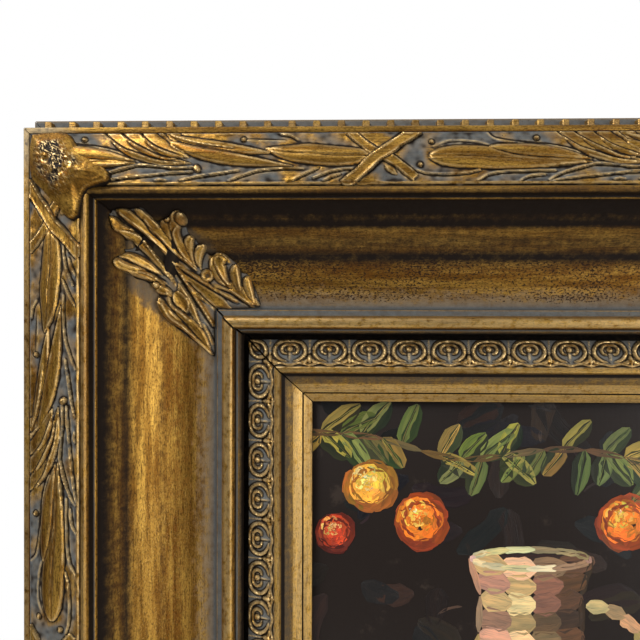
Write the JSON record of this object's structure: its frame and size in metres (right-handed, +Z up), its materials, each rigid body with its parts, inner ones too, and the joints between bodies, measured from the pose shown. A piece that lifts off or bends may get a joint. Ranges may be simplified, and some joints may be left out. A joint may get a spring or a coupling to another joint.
{
  "type": "framed oil painting",
  "caption": "Oil painting on stretched canvas in a ringed inner slip and a wide scooped antique gold frame with leafy rail and corner ornaments.",
  "frame": {"origin": "on the flat back of the top moulding, at mid length, 20 mm below the rail's outer edge, where the frame bears on the wall", "axes": "+X to the right seen from the front, +Y from the picture back into the wall, +Z up"},
  "size_m": [0.7784, 0.0776, 0.6794],
  "materials": {
    "gilded_moulding": "antique gold leaf over gesso, rubbed to brown, with a blue-grey wash in the hollows",
    "gilded_slip": "antique gold with a blue-grey ground behind the rings",
    "gilded_ornament": "moulded composition, antique gold with dark hollows",
    "painted_canvas": "oil paint on primed linen",
    "stretcher_pine": "bare planed pine",
    "steel_point": "thin rolled steel"
  },
  "bodies": {
    "root": {"moulding_top": "gilded_moulding", "moulding_right": "gilded_moulding", "moulding_bottom": "gilded_moulding", "moulding_left": "gilded_moulding", "slip_top": "gilded_slip", "slip_right": "gilded_slip", "slip_bottom": "gilded_slip", "slip_left": "gilded_slip", "corner_cap_top_left": "gilded_ornament", "corner_cap_top_right": "gilded_ornament", "corner_cap_bottom_right": "gilded_ornament", "corner_cap_bottom_left": "gilded_ornament", "acanthus_leaf_top_left": "gilded_ornament", "acanthus_leaf_top_right": "gilded_ornament", "acanthus_leaf_bottom_right": "gilded_ornament", "acanthus_leaf_bottom_left": "gilded_ornament", "canvas": "painted_canvas", "stretcher_bar_top": "stretcher_pine", "stretcher_bar_right": "stretcher_pine", "stretcher_bar_bottom": "stretcher_pine", "stretcher_bar_left": "stretcher_pine", "steel_point_top_1": "steel_point", "steel_point_top_2": "steel_point", "steel_point_right_1": "steel_point", "steel_point_bottom_1": "steel_point", "steel_point_bottom_2": "steel_point", "steel_point_left_1": "steel_point"}
  },
  "joints": []
}
